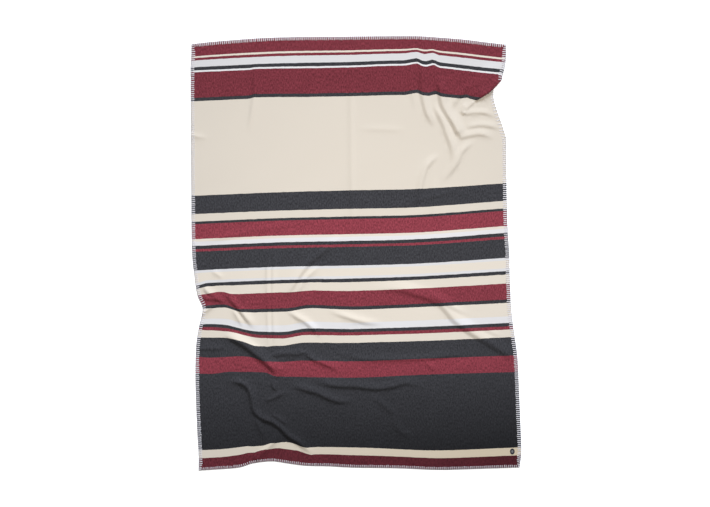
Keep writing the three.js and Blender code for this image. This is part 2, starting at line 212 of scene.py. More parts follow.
PUSHES = (
    # At the top, beside the fold on the left and along the ridges that run into the hem and the tuck
    Push(5, 14, 260, (0.3, 0.3), ((-480, 900), (-480, 620))),
    Push(11, 17, 72, (0.2, 0.25), ((298, 680), (295, 980))),
    Push(11, 16, 42, (0.2, 0.25), ((386, 670), (373, 850), (362, 980))),
    Push(8, 14, 40, (0.2, 0.4), ((533, 680), (513, 780))),
    # At the pushed-in left edge and the big fold below it
    Push(-13, 32, 100, (0.4, 0.4), ((-712, -192), (-712, -80))),
    Push(26, 34, 330, (0.6, 0.25), ((-530, -340), (-570, -240), (-600, -190), (-620, -140))),
    Push(20, 72, 330, (0.25, 0.4), ((-514, -462), (-543, -230))),
    Push(-7, 15, 45, (0.4, 0.4), ((-520, -440), (-360, -440))),
    Push(6, 30, 90, (0.3, 0.3), ((-590, -520), (-590, -440), (-600, -370))),
    Push(17, 18, 420, (0.2, 0.3), ((-370, -600), (-410, -530), (-470, -470), (-520, -430), (-590, -390))),
    Push(8, 20, 150, (0.3, 0.3), ((-470, -1000), (-500, -800))),
    # Between those and the middle
    Push(14, 55, 260, (0.35, 0.3), ((-205, -80), (-260, -230), (-285, -360), (-320, -560))),
    # Under the lowest fold
    Push(20, 20, 130, (0.2, 0.2), ((-180, -985), (-222, -925), (-287, -866), (-345, -820))),
    Push(14, 12, 100, (0.3, 0.2), ((-370, -830), (-392, -866), (-459, -922), (-480, -960))),
)

# The hump that the lowest fold pushes into the stripes above the bottom hem: where it lies across the
# cloth, and where it starts and is full down the stripes' run.
HUMP = {"height": 10, "from": 170, "peak": 340, "to": 540, "starts_down": 1830, "full_down": 1960}

FOLDS = (
    # From the top hem and the tuck, down through the upper right
    Fold(14, 12, 48, (0.25, 0.12),
         ((372, 830), (378, 760), (390, 685), (414, 636), (442, 593), (463, 552), (478, 528))),
    Fold(6, 10, 34, (0.1, 0.4), ((472, 524), (527, 537), (579, 542), (640, 518))),
    Fold(9, 12, 36, (0.25, 0.4),
         ((345, 700), (361, 661), (393, 598), (410, 550), (432, 490), (436, 430), (405, 375))),
    Fold(9, 11, 36, (0.2, 0.25), ((297, 885), (296, 760), (305, 700), (321, 640), (345, 595), (367, 576))),
    Fold(4, 12, 30, (0.3, 0.5), ((240, 890), (245, 775), (265, 650))),
    Fold(7, 8, 22, (0.3, 0.1), ((500, 700), (487, 672), (484, 650), (498, 636))),
    Fold(5.5, 9, 28, (0.1, 0.4), ((492, 636), (546, 642), (598, 640), (650, 618))),
    Fold(6, 7, 18, (0.3, 0.3), ((505, 650), (525, 675), (555, 705))),
    Fold(5, 10, 30, (0.3, 0.3), ((497, 568), (536, 579), (579, 584), (631, 577), (668, 563))),
    Fold(7, 11, 32, (0.4, 0.3), ((395, 315), (430, 355), (470, 410), (500, 470), (555, 515))),
    Fold(8, 11, 32, (0.3, 0.3), ((300, 210), (300, 270), (315, 345), (340, 405), (395, 455))),
    Fold(6, 12, 32, (0.3, 0.3), ((440, 650), (470, 705), (500, 740), (560, 790))),
    # Upper left
    Fold(5, 10, 30, (0.3, 0.4), ((-475, 880), (-478, 715), (-510, 550))),
    # Middle, between the two sides
    Fold(8, 11, 34, (0.3, 0.4), ((-345, -235), (-295, -170), (-225, -65), (-145, 0), (-40, 90))),
    Fold(5, 9, 22, (0.3, 0.4), ((-275, -215), (-225, -120), (-145, -50))),
    Fold(7, 11, 30, (0.3, 0.4), ((-330, -265), (-275, -300), (-220, -335), (-155, -405))),
    Fold(6, 11, 30, (0.4, 0.4), ((-145, -265), (-30, -305), (50, -325), (140, -330))),
    Fold(4, 7, 24, (0.2, 0.2), ((-414, 50), (-414, -215), (-408, -460))),
    Fold(4, 7, 24, (0.2, 0.2), ((-386, 50), (-388, -215), (-382, -440))),
    # Left edge, where the side is pushed in
    Fold(7, 9, 26, (0.3, 0.3), ((-715, -140), (-690, -180), (-660, -200), (-600, -240))),
    Fold(6, 8, 20, (0.1, 0.4), ((-710, -210), (-670, -215), (-615, -220))),
    Fold(9, 10, 32, (0.3, 0.3), ((-615, -185), (-570, -230), (-520, -290), (-470, -355))),
    Fold(5, 8, 20, (0.4, 0.4), ((-580, -255), (-555, -290), (-525, -345))),
    Fold(7, 8, 20, (0.2, 0.4), ((-715, -295), (-690, -270), (-645, -245))),
    # The big fold on the lower left, and those that spread from its foot
    Fold(15, 13, 50, (0.25, 0.15),
         ((-625, -380), (-562, -406), (-515, -433), (-475, -465), (-430, -500), (-390, -537),
          (-372, -570))),
    Fold(5, 10, 24, (0.1, 0.5), ((-735, -445), (-655, -445), (-575, -450))),
    Fold(7, 10, 28, (0.2, 0.2), ((-402, -486), (-341, -470), (-271, -469), (-240, -458), (-233, -430))),
    Fold(8, 10, 30, (0.2, 0.4), ((-245, -440), (-215, -485), (-135, -520), (-65, -555))),
    Fold(8, 8, 20, (0.3, 0.3), ((-379, -575), (-388, -605), (-374, -640))),
    Fold(5, 8, 18, (0.3, 0.3), ((-380, -585), (-350, -560), (-335, -510))),
    Fold(10, 11, 36, (0.3, 0.3),
         ((-318, -606), (-271, -624), (-224, -638), (-176, -652), (-106, -683), (-51, -690), (0, -682))),
    Fold(9, 11, 36, (0.2, 0.3),
         ((-205, -590), (-105, -615), (-5, -620), (95, -630), (170, -620), (240, -605), (335, -635))),
    Fold(7, 9, 20, (0.3, 0.3), ((-425, -686), (-393, -678), (-346, -655), (-318, -640))),
    Fold(13, 12, 24, (0.15, 0.2),
         ((-600, -590), (-565, -598), (-525, -607), (-501, -629), (-487, -671), (-480, -715),
          (-463, -745), (-430, -768), (-388, -784), (-350, -812), (-313, -848), (-272, -873),
          (-235, -903), (-200, -938))),
    Fold(5, 9, 22, (0.3, 0.3), ((-405, -740), (-359, -767), (-313, -800))),
    Fold(8, 12, 26, (0.3, 0.1), ((-372, -805), (-385, -855), (-420, -895), (-459, -928), (-475, -955))),
    Fold(6, 10, 28, (0.3, 0.3),
         ((-115, -455), (10, -490), (125, -495), (325, -490), (400, -480), (560, -475))),
    # From the middle down to the right edge
    Fold(9, 14, 55, (0.3, 0.1),
         ((45, -175), (195, -175), (265, -195), (375, -235), (455, -320), (570, -400), (695, -475),
          (735, -505))),
    Fold(5, 11, 30, (0.3, 0.4), ((310, -175), (395, -225), (525, -300))),
    Fold(5, 14, 34, (0.4, 0.4), ((161, -737), (182, -811), (224, -843), (267, -870))),
    # The soft roll along the edge of the tuck
    Fold(11.5, 9, 45, (0.3, 0.15), ((555, 709), (587, 724), (619, 743), (643, 768), (662, 800))),
    # Faint ones all over
    Fold(3, 10, 24, (0.4, 0.4), ((360, 375), (355, 315), (345, 110))),
    Fold(3, 9, 22, (0.05, 0.6), ((-765, 540), (-725, 530), (-675, 525))),
    Fold(2, 10, 24, (0.4, 0.4), ((-5, 565), (110, 565), (245, 560))),
    Fold(3, 12, 30, (0.4, 0.4), ((135, 175), (270, 230), (520, 295))),
    Fold(3, 12, 30, (0.3, 0.4), ((-765, 35), (-460, 95), (-155, 145))),
    Fold(3, 9, 20, (0.4, 0.4), ((-675, -80), (-610, -125))),
    Fold(4, 9, 22, (0.3, 0.3), ((315, -500), (360, -550))),
    Fold(3, 10, 26, (0.3, 0.4), ((560, -340), (675, -395))),
    Fold(4, 12, 30, (0.4, 0.4), ((55, -655), (205, -770))),
    Fold(5, 12, 30, (0.3, 0.4), ((-478, -750), (-460, -790), (-440, -830), (-425, -870))),
    # The creases down the middle that packing left
    Fold(2, 6, 30, (0.3, 0.2), ((-30, 960), (-32, 700), (-28, 300), (-25, 80))),
    Fold(2, 6, 30, (0.3, 0.3), ((-8, 80), (-10, 500), (-12, 940))),
    Fold(1.6, 6, 20, (0.3, 0.3), ((-5, -360), (-2, -700), (0, -920))),
)

# A fold begins to fade at this share of its face from its path.
FADE_STARTS = 0.6

# The tuck at the upper right, where the cloth runs back under itself along a line between two places. It
# grows to its depth along that line, its edge bulges outwards, and the cloth rises to lie over it. The bend
# is how far apart the middles of its layers are.
TUCK_INNER = np.array((558.0, 707.0))
TUCK_OUTER = np.array((666.0, 795.0))
TUCK = {"bulge": 9, "depth": 45, "bend": 5.5, "rise": 60, "grows_from": -18, "grows_to": 67}
TUCK_LENGTH = float(np.linalg.norm(TUCK_OUTER - TUCK_INNER))
TUCK_EDGE = (TUCK_OUTER - TUCK_INNER) / TUCK_LENGTH
TUCK_OUTWARD = np.array((TUCK_EDGE[1], -TUCK_EDGE[0]))

# The stripes from the top hem down. Their tones hold painted light and shade as well as the yarns' own
# differences.
STRIPES = (
    Stripe(55, "red", 0.76),
    Stripe(9.5, "cream", 1.1),
    Stripe(11.5, "red", 0.78),
    Stripe(30, "white", 1.0),
    Stripe(16, "dark", 0.9),
    Stripe(9, "white", 1.12),
    Stripe(115, "red", 0.71),
    Stripe(14, "dark", 0.92),
    Stripe(438, "cream", 1.0),
    Stripe(84, "dark", 1.0),
    Stripe(35, "cream", 1.0),
    Stripe(15, "dark", 0.88),
    Stripe(70, "red", 1.0),
    Stripe(11, "cream", 1.08),
    Stripe(17, "white", 1.06),
    Stripe(16.5, "dark", 0.88),
    Stripe(14, "red", 0.98),
    Stripe(83.5, "dark", 1.0),
    Stripe(11, "white", 1.0),
    Stripe(37.5, "cream", 1.08),
    Stripe(12.5, "white", 1.0),
    Stripe(14, "dark", 0.88),
    Stripe(41, "cream", 1.05),
    Stripe(67, "red", 0.86),
    Stripe(16, "dark", 0.88),
    Stripe(64, "cream", 1.07),
    Stripe(29, "white", 1.05),
    Stripe(16, "dark", 0.9),
    Stripe(16, "red", 0.85),
    Stripe(38, "cream", 1.05),
    Stripe(80, "dark", 0.95),
    Stripe(73, "red", 0.97),
    Stripe(352, "dark", 1.0),
    Stripe(37, "cream", 1.0),
    Stripe(53, "red", 1.0),
)

YARN_COLOURS = {
    "cream": (0.67, 0.61, 0.532, 1),
    "white": (0.67, 0.662, 0.675, 1),
    "red": (0.245, 0.042, 0.06, 1),
    "dark": (0.042, 0.042, 0.048, 1),
}
# The cream's colour in painted shade, darker and yellower, lower down the cloth.
CREAM_IN_PAINTED_SHADE = (0.587, 0.493, 0.362, 1)

# Painted shade, for the light that falls off towards the bottom hem: the yarns' colours change between
# these places down the stripes' run, in metres, by this much at most.
LOWER_PAINTED_SHADE = {"from": 1.5, "to": 1.92, "most": 0.6}

PALE_YARN = Shades((0.6, 0.59, 0.64, 1), (0.84, 0.83, 0.87, 1))
# The strands along the rim are the pale yarn drawn darker: painted shade at the rim.
SHADED_STRAND_YARN = Shades((0.1, 0.09, 0.1, 1), (0.2, 0.19, 0.2, 1))
BADGE_FACE = Shades((0.015, 0.015, 0.02, 1), (0.04, 0.04, 0.05, 1))
BADGE_MIDDLE = Shades((0.1, 0.1, 0.11, 1), (0.22, 0.22, 0.22, 1))

# The ramps that paint the stripes say the yarn by a channel of their own, and cream by none. Their alpha is
# the tone as a share of the brightest, and each ramp covers one metre of the stripes' run.
YARN_MASKS = {"red": (1, 0, 0), "dark": (0, 1, 0), "white": (0, 0, 1), "cream": (0, 0, 0)}
BRIGHTEST_TONE = 1.25
RAMP_REACH = 1.0

BADGE = {"width": 22, "length": 28, "x": 720, "y": -912}

# The badge from its rim inwards: a raised border, the flat face, and the paler middle.
BADGE_RINGS = (
    Ring(0.98, -0.1),
    Ring(1.0, 0.3),
    Ring(0.97, 0.9),
    Ring(0.9, 1.2),
    Ring(0.82, 1.0),
    Ring(0.79, 0.7),
    Ring(0.44, 0.75),
    Ring(0.4, 0.9),
    Ring(0.2, 0.95),
)
BADGE_MIDDLE_RING = 6

# The ridges of the thread on the border, which is the part past `inside` and over `above`.
BORDER_STITCHES = {"inside": 0.85, "above": 0.5, "height": 0.12, "count": 24}

STITCH_PITCH = 9.4
STITCH_HALF_HEIGHT = 0.8

# How far a stitch strays along the side, leans, and differs in length.
STITCH_STRAY = {"along": 0.35, "lean": 0.5, "length": 0.7}

# A stitch at a corner is short, and each one further off is longer, up to its side's bar length.
CORNER_STITCH = {"length": 7, "growth": 0.25}

# A stitch's way from its hole in the face, round the rim, to its hole in the back.
STITCH_ROUTE = (
    RoutePoint(1.0, 0.3),
    RoutePoint(0.95, 1.9),
    RoutePoint(0.78, 2.4),
    RoutePoint(0.45, 2.5),
    RoutePoint(0.12, 2.3),
    RoutePoint(-0.07, 1.5),
    RoutePoint(-0.12, 0.0),
    RoutePoint(-0.07, -1.3),
    RoutePoint(0.12, -1.6),
    RoutePoint(0.5, -1.5),
    RoutePoint(0.95, -1.3),
    RoutePoint(1.0, -0.3),
)

STITCHED_SIDES = {
    "top": Stitching((0, -1), 14, 2.1),
    "left": Stitching((-1, 0), 15, 2.0),
    "bottom": Stitching((0, 1), 11, 1.5),
    "right": Stitching((1, 0), 16, 2.0),
}

# The two strands that run along the rim, twisted round a line just outside it and below its middle.
STRANDS = {"radius": 0.8, "from_line": 0.6, "line_out": 0.9, "line_below": 0.6}

# The flat cloth's grid, and where it is made finer: round the tuck, and beside a fold's path by shares of
# its face, but only once at a fold no higher than the faint ones.
GRID = {"across": 100, "down": 134}
FINER = {"fold": 1.5, "face": 1.7, "faint": 2.5}
TUCK_MARGIN = {"along": 10, "before": 12, "beyond": 35}

# Over this stretch at each hem the stripes settle into the hem's own line.
HEM_STRETCH = 130

# The cloth's slopes are taken between places this far to each side.
NEARBY = 0.5

# The picture's width and the camera's height are in metres, the picture's middle in millimetres.
PICTURE = {"width": 3.272, "height_above": 7.0, "middle": (-4.6, 0, 0)}


def smoothstep(t):
    k = np.clip(t, 0, 1)
    return k * k * (3 - 2 * k)


def smooth_line(places, values, at):
    """A smooth line through values at rising places. Each point may have a line of its own."""
    places = np.asarray(places, float)
    values = np.asarray(values, float)
    if values.ndim == 1:
        values = np.repeat(values[:, None], len(at), axis=1)
    last = len(places) - 1
    points = np.arange(len(at))
    i = np.searchsorted(places[1:last], at, side="left")

    def slope(a, b):
        return (values[b, points] - values[a, points]) / (places[b] - places[a])

    span = places[i + 1] - places[i]
    start_slope = slope(np.maximum(0, i - 1), i + 1) * span
    end_slope = slope(i, np.minimum(last, i + 2)) * span
    t = (at - places[i]) / span
    a = values[i, points]
    b = values[i + 1, points]
    rising = t * t * (3 - 2 * t)
    return a + (b - a) * rising + start_slope * t * (1 - t) ** 2 - end_slope * t * t * (1 - t)


def read_column(rows, by, name, at):
    return smooth_line([getattr(row, by) for row in rows], [getattr(row, name) for row in rows], at)


def outline_points(across, down):
    """Where points of the cloth lie before the tuck is made, seen from above."""
    left = read_column(SIDES, "down", "left", down)
    right = read_column(SIDES, "down", "right", down)
    top = read_column(TOP_HEM, "across", "y", across)
    bottom = read_column(BOTTOM_HEM, "across", "y", across)
    x = left + (right - left) * across / CLOTH_WIDTH
    y = top + (bottom - top) * down / CLOTH_LENGTH
    return np.column_stack((x, y))


def spline_points(path, steps_per_span=6):
    """Points on the smooth curve through a fold's path."""
    path = np.array(path, float)
    last = len(path) - 1
    points = []
    for n in range(last * steps_per_span + 1):
        i, part = divmod(n, steps_per_span)
        t = part / steps_per_span
        before, here, after, beyond = (path[np.clip(k, 0, last)] for k in (i - 1, i, i + 1, i + 2))
        leaving = (after - before) / 2
        arriving = (beyond - here) / 2
        point = (2 * here - 2 * after + leaving + arriving) * t**3
        point += (-3 * here + 3 * after - 2 * leaving - arriving) * t**2
        points.append(point + leaving * t + here)
    return np.array(points)


def beside_fold(fold, points):
    """How far points are to the left of a fold's path, and their share of the way along it."""
    line = spline_points(fold.path)
    steps = np.diff(line, axis=0)
    lengths = np.linalg.norm(steps, axis=1)
    runs = np.concatenate(((0,), np.cumsum(lengths)))
    nearest = np.full(len(points), np.inf)
    offset = np.zeros(len(points))
    share = np.zeros(len(points))
    for start, step, length, run in zip(line, steps, lengths, runs):
        to_point = points - start
        t = np.clip(to_point @ step / length**2, 0, 1)
        distance = np.linalg.norm(to_point - t[:, None] * step, axis=1)
        closer = distance < nearest
        side = np.sign(step[0] * to_point[:, 1] - step[1] * to_point[:, 0])
        nearest = np.where(closer, distance, nearest)
        offset = np.where(closer, distance * side, offset)
        share = np.where(closer, (run + t * length) / runs[-1], share)
    return offset, share


def points_near(fold, points):
    reach = fold.face + fold.fade
    path = np.array(fold.path)
    low = path.min(axis=0) - reach
    high = path.max(axis=0) + reach
    return np.flatnonzero(np.all((points > low) & (points < high), axis=1))


def fold_relief(folds, points):
    """How much a table's folds or pushes add up to at points seen from above."""
    relief = np.zeros(len(points))
    for fold in folds:
        near = points_near(fold, points)
        if len(near) == 0:
            continue
        offset, share = beside_fold(fold, points[near])
        up = smoothstep((offset + fold.face) / (2 * fold.face))
        away = 1 - smoothstep((offset - FADE_STARTS * fold.face) / fold.fade)
        ends = smoothstep(share / fold.ends[0]) * smoothstep((1 - share) / fold.ends[1])
        relief[near] += fold.height * up * away * ends
    return relief


def swell(points):
    """The cloth's slight unevenness where it has no fold, from 0 to about 2 mm."""
    x, y = points.T
    waves = (
        np.sin(x / 61 + 1.3 * np.sin(y / 149)),
        np.sin(y / 83 + 1.1 * np.sin(x / 127) + 2),
        np.sin((x + y) / 97 + 0.7 * np.sin(x / 73) + 4),
        np.sin((x - 1.4 * y) / 53 + np.sin(y / 91)),
    )
    middle = 0.9
    wave_height = 0.22
    return middle + wave_height * sum(waves)


def tuck_strip(length, depth):
    """How far a strip of cloth has travelled and dropped after a length of it has run through the tuck."""
    radius = TUCK["bend"] / 2
    half_circle = math.pi * radius
    turning = np.minimum(depth, half_circle)
    steepest = turning / radius
    straight = np.maximum(depth, half_circle) - turning
    first = np.clip(length, 0, turning) / radius
    middle = np.clip(length - turning, 0, straight)
    second = np.clip(length - turning - straight, 0, turning) / radius
    after = np.maximum(0, length - 2 * turning - straight)
    unturned = steepest - second
    bends_travel = np.sin(first) + np.sin(steepest) - np.sin(unturned)
    bends_drop = 1 - np.cos(first) - np.cos(steepest) + np.cos(unturned)
    travel = radius * bends_travel + middle * np.cos(steepest) + after
    drop = radius * bends_drop + middle * np.sin(steepest)
    return travel, drop


def through_tuck(points):
    """Moves flat points through the tuck, and says how high their layer lies."""
    from_inner = points - TUCK_INNER
    along = from_inner @ TUCK_EDGE
    grown = (along - TUCK["grows_from"]) / (TUCK["grows_to"] - TUCK["grows_from"])
    depth = TUCK["depth"] * smoothstep(grown)
    bow = TUCK["bulge"] * np.sin(math.pi * np.clip(along / TUCK_LENGTH, 0, 1))
    beyond = from_inner @ TUCK_OUTWARD - bow + TUCK["bend"] / 2
    travel, drop = tuck_strip(np.maximum(0, beyond), depth)
    whole_length = 2 * math.pi * TUCK["bend"] + depth
    whole_drop = tuck_strip(whole_length, depth)[1]
    raised = whole_drop * smoothstep(1 + (beyond + depth) / TUCK["rise"])
    moved = np.where(beyond > 0, travel - beyond, 0)
    return points + moved[:, None] * TUCK_OUTWARD, raised - drop


def cloth_points(across, down):
    """The middle of the cloth's thickness at places given across and down the flat cloth."""
    points, layer = through_tuck(outline_points(across, down))
    z = CLOTH_THICKNESS / 2 + layer + fold_relief(FOLDS, points) + swell(points)
    return np.column_stack((points, z))


def cloth_slopes(across, down):
    """The steps over the laid cloth for one step across and one step down the flat one."""
    by_across = cloth_points(across + NEARBY, down) - cloth_points(across - NEARBY, down)
    by_down = cloth_points(across, down + NEARBY) - cloth_points(across, down - NEARBY)
    return by_across / (2 * NEARBY), by_down / (2 * NEARBY)


def unit(vectors):
    return vectors / np.linalg.norm(vectors, axis=-1, keepdims=True)


def cloth_normals(across, down):
    by_across, by_down = cloth_slopes(across, down)
    return unit(np.cross(by_down, by_across))


def stripe_bend(across, woven):
    """How far up the laid stripes lie on their own slow bend, at distances down their run."""
    columns = ("at_left", "at_quarter", "at_middle", "at_three_quarters", "at_right")
    bends = np.array([read_column(BENDS, "down", name, woven) for name in columns])
    rising = smoothstep((across - HUMP["from"]) / (HUMP["peak"] - HUMP["from"]))
    falling = 1 - smoothstep((across - HUMP["peak"]) / (HUMP["to"] - HUMP["peak"]))
    lowest = smoothstep((woven - HUMP["starts_down"]) / (HUMP["full_down"] - HUMP["starts_down"]))
    hump = HUMP["height"] * rising * falling * lowest
    return smooth_line(BEND_SHARES, bends, across / CLOTH_WIDTH) + hump


def woven_distance(across, down):
    """How far down the stripes' run a place is, closer to it with each round."""
    points = outline_points(across, down)
    straight = CLOTH_LENGTH / 2 - points[:, 1] + fold_relief(PUSHES, points)
    woven = straight
    rounds = 5
    for _ in range(rounds):
        woven = straight + stripe_bend(across, np.clip(woven, 0, CLOTH_LENGTH))
    return woven


def stripe_places(across, down):
    """The distance down the stripes' run of each place, which starts and ends at the two hems."""
    woven = woven_distance(across, down)
    at_top = woven_distance(across, np.zeros_like(down))
    at_bottom = woven_distance(across, np.full_like(down, CLOTH_LENGTH))
    woven -= at_top * (1 - smoothstep(down / HEM_STRETCH))
    below_stretch = smoothstep((down - CLOTH_LENGTH + HEM_STRETCH) / HEM_STRETCH)
    return woven + (CLOTH_LENGTH - at_bottom) * below_stretch


def to_frame(points):
    """From the tables' place in millimetres to the frame's in metres."""
    low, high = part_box("blanket_cloth")
    middle = (np.array(low) + np.array(high))[:2] / 2 / MM
    shift = np.array((*(middle - TABLES_MIDDLE), 0))
    return (points + shift) * MM


def mesh_object(name, points, faces):
    mesh = bpy.data.meshes.new(name)
    mesh.from_pydata([tuple(point) for point in points], [], [tuple(map(int, face)) for face in faces])
    mesh.shade_smooth()
    piece = bpy.data.objects.new(name, mesh)
    bpy.context.scene.collection.objects.link(piece)
    return piece


def busy_places(across, down):
    """Marks places by how closely the cloth bends there: 0 open, 1 on a fold, 2 on its steep face."""
    points, _ = through_tuck(outline_points(across, down))
    level = np.zeros(len(points), int)
    for fold in FOLDS:
        near = points_near(fold, points)
        if len(near) == 0:
            continue
        offset, share = beside_fold(fold, points[near])
        beside = (offset > -FINER["fold"] * fold.face) & (offset < fold.face + fold.fade)
        on_fold = beside & (share > 0) & (share < 1)
        on_face = on_fold & (np.abs(offset) < FINER["face"] * fold.face) & (fold.height > FINER["faint"])
        level[near] = np.maximum(level[near], np.where(on_face, 2, np.where(on_fold, 1, 0)))
    return level


def tuck_places(across, down):
    """True where the cloth turns over in the tuck."""
    from_inner = outline_points(across, down) - TUCK_INNER
    along = from_inner @ TUCK_EDGE
    beyond = from_inner @ TUCK_OUTWARD
    in_run = (beyond > -TUCK_MARGIN["before"]) & (beyond < TUCK["depth"] + TUCK_MARGIN["beyond"])
    return in_run & (along > TUCK["grows_from"] - TUCK_MARGIN["along"])


def split_where(flat, is_busy):
    """Halves the flat mesh's edges where both ends are busy."""
    places = np.array([vertex.co[:2] for vertex in flat.verts])
    busy = is_busy(places[:, 0], places[:, 1])
    flat.verts.index_update()
    edges = [edge for edge in flat.edges if all(busy[vertex.index] for vertex in edge.verts)]
    bmesh.ops.subdivide_edges(flat, edges=edges, cuts=1, use_grid_fill=True)


def flat_places(points):
    """Where points seen from above, away from the tuck, are on the flat cloth, closer with each round."""
    x, y = points.T
    across = np.full(len(points), CLOTH_WIDTH / 2)
    down = np.full(len(points), CLOTH_LENGTH / 2)
    rounds = 6
    for _ in range(rounds):
        left = read_column(SIDES, "down", "left", down)
        right = read_column(SIDES, "down", "right", down)
        across = np.clip((x - left) / (right - left), 0, 1) * CLOTH_WIDTH
        top = read_column(TOP_HEM, "across", "y", across)
        bottom = read_column(BOTTOM_HEM, "across", "y", across)
        down = np.clip((top - y) / (top - bottom), 0, 1) * CLOTH_LENGTH
    return across, down


def flat_mesh():
    """The flat cloth as a grid that is finer where it will be folded. x is across it and y is down it."""
    flat = bmesh.new()
    bmesh.ops.create_grid(flat, x_segments=GRID["across"], y_segments=GRID["down"], size=1)
    for vertex in flat.verts:
        vertex.co.x = (vertex.co.x + 1) / 2 * CLOTH_WIDTH
        vertex.co.y = (vertex.co.y + 1) / 2 * CLOTH_LENGTH
    for level in (1, 2):
        split_where(flat, lambda *place: (busy_places(*place) >= level) | tuck_places(*place))
    split_where(flat, tuck_places)
    bmesh.ops.reverse_faces(flat, faces=flat.faces)
    return flat


def apply_modifiers(piece):
    evaluated = piece.evaluated_get(bpy.context.evaluated_depsgraph_get())
    mesh = bpy.data.meshes.new_from_object(evaluated)
    mesh.name = piece.name
    piece.modifiers.clear()
    piece.data = mesh


def build_cloth():
    flat = flat_mesh()
    across, down = np.array([vertex.co[:2] for vertex in flat.verts]).T
    for vertex, point in zip(flat.verts, to_frame(cloth_points(across, down))):
        vertex.co = point
    mesh = bpy.data.meshes.new("blanket")
    flat.to_mesh(mesh)
    flat.free()
    mesh.shade_smooth()
    place = mesh.attributes.new("flat_place", "FLOAT_VECTOR", "POINT")
    woven = np.column_stack((across, stripe_places(across, down), np.zeros(len(across)))) * MM
    place.data.foreach_set("vector", woven.ravel())
    cloth = bpy.data.objects.new("blanket", mesh)
    bpy.context.scene.collection.objects.link(cloth)
    thickness = cloth.modifiers.new("Thickness", "SOLIDIFY")
    thickness.thickness = CLOTH_THICKNESS * MM
    thickness.offset = 0
    apply_modifiers(cloth)
    cloth.data.set_sharp_from_angle(angle=math.radians(60))
    return cloth


def round_angles(count):
    """The angles of points evenly round a circle."""
    return np.linspace(0, 2 * math.pi, count, endpoint=False)


def use_second_material(piece, face_numbers):
    for number in face_numbers:
        piece.data.polygons[number].material_index = 1


def tubes(rings):
    """Points and faces of closed tubes, from rings of points: tube, ring, point round the ring."""
    count, length, sides, _ = rings.shape
    index = np.arange(count * length * sides).reshape(count, length, sides)
    here = index[:, :-1]
    there = index[:, 1:]
    walls = np.stack((here, there, np.roll(there, -1, axis=2), np.roll(here, -1, axis=2)), axis=-1)
    caps = [*index[:, 0], *index[:, -1, ::-1]]
    return rings.reshape(-1, 3), [*walls.reshape(-1, 4), *caps]


def joined(parts):
    """Several sets of points and faces as one."""
    points = []
    faces = []
    for part_points, part_faces in parts:
        start = sum(len(each) for each in points)
        points.append(part_points)
        faces += [np.asarray(face) + start for face in part_faces]
    return np.concatenate(points), faces


def side_places(way, run):
    """Places on one side of the flat cloth, from how far along it they are."""
    out_across, out_down = way
    start_across = CLOTH_WIDTH * max(0, out_across, out_down < 0)
    start_down = CLOTH_LENGTH * max(0, out_down, out_across > 0)
    return start_across + out_down * run, start_down - out_across * run


def side_axes(across, down, way):
    """At places on a side: the way along it, the way out of the cloth, and the flat step inwards."""
    by_across, by_down = cloth_slopes(across, down)
    forwards = unit(by_across * way[1] - by_down * way[0])
    outward = np.cross(forwards, unit(np.cross(by_down, by_across)))
    slopes = np.stack((by_across, by_down), axis=-1)
    inward = np.einsum("nij,nj->ni", np.linalg.pinv(slopes), -outward)
    return forwards, outward, inward


def stitch_bars(stitching, length, randomly):
    """One side's stitches: a loop of yarn over the rim from the face to the back, at each pitch."""
    count = round(length / STITCH_PITCH)
    run = (np.arange(count) + 0.5) * length / count + randomly.normal(0, STITCH_STRAY["along"], count)
    way = stitching.way
    across, down = side_places(way, run)
    forwards, _, inward = side_axes(across, down, way)
    lean = randomly.normal(0, STITCH_STRAY["lean"], count)
    near_corner = CORNER_STITCH["length"] + CORNER_STITCH["growth"] * np.minimum(run, length - run)
    reach = np.minimum(stitching.bar_length, near_corner)
    reach += randomly.normal(0, STITCH_STRAY["length"], count)
    centres = []
    for point in STITCH_ROUTE:
        inside = (reach * point.share)[:, None] * inward
        leaning = lean * max(0, point.share)
        place_across = across + inside[:, 0] + way[1] * leaning
        place_down = down + inside[:, 1] - way[0] * leaning
        normals = cloth_normals(place_across, place_down)
        centres.append(cloth_points(place_across, place_down) + normals * point.above)
    centres = np.stack(centres, axis=1)
    heading = unit(np.gradient(centres, axis=1))
    wide = np.repeat(forwards[:, None], len(STITCH_ROUTE), axis=1)
    high = unit(np.cross(wide, heading))
    angles = round_angles(8)[:, None]
    to_side = stitching.half_width * np.cos(angles) * wide[:, :, None]
    to_top = STITCH_HALF_HEIGHT * np.sin(angles) * high[:, :, None]
    return tubes(centres[:, :, None] + to_side + to_top)


def edge_chain(way, length):
    """One side's two strands, twisted round each other along the rim, a turn at each stitch."""
    count = round(length / STITCH_PITCH)
    rings_per_stitch = 6
    past_corner = 1
    run = np.linspace(-past_corner, length + past_corner, count * rings_per_stitch + 1)
    across, down = side_places(way, run)
    forwards, outward, _ = side_axes(across, down, way)
    normals = np.cross(outward, forwards)
    line = cloth_points(across, down) + STRANDS["line_out"] * outward - STRANDS["line_below"] * normals
    turn = 2 * math.pi * run * count / length
    angles = round_angles(6)[:, None]
    around = np.cos(angles) * outward[:, None] + np.sin(angles) * normals[:, None]
    strands = []
    for start in (0, math.pi):
        to_side = np.cos(turn + start)[:, None] * outward
        to_top = np.sin(turn + start)[:, None] * normals
        centre = line + STRANDS["from_line"] * (to_side + to_top)
        strands.append(centre[:, None] + STRANDS["radius"] * around)
    return tubes(np.stack(strands))


def build_stitching(side, randomly):
    """One side's stitches, and the strands along its rim, darker with painted shade, in the piece's second
    material.
    """
    stitching = STITCHED_SIDES[side]
    length = CLOTH_LENGTH if stitching.way[0] else CLOTH_WIDTH
    bars = stitch_bars(stitching, length, randomly)
    points, faces = joined((bars, edge_chain(stitching.way, length)))
    piece = mesh_object(f"stitching_{side}", to_frame(points), faces)
    use_second_material(piece, range(len(bars[1]), len(faces)))
    return piece


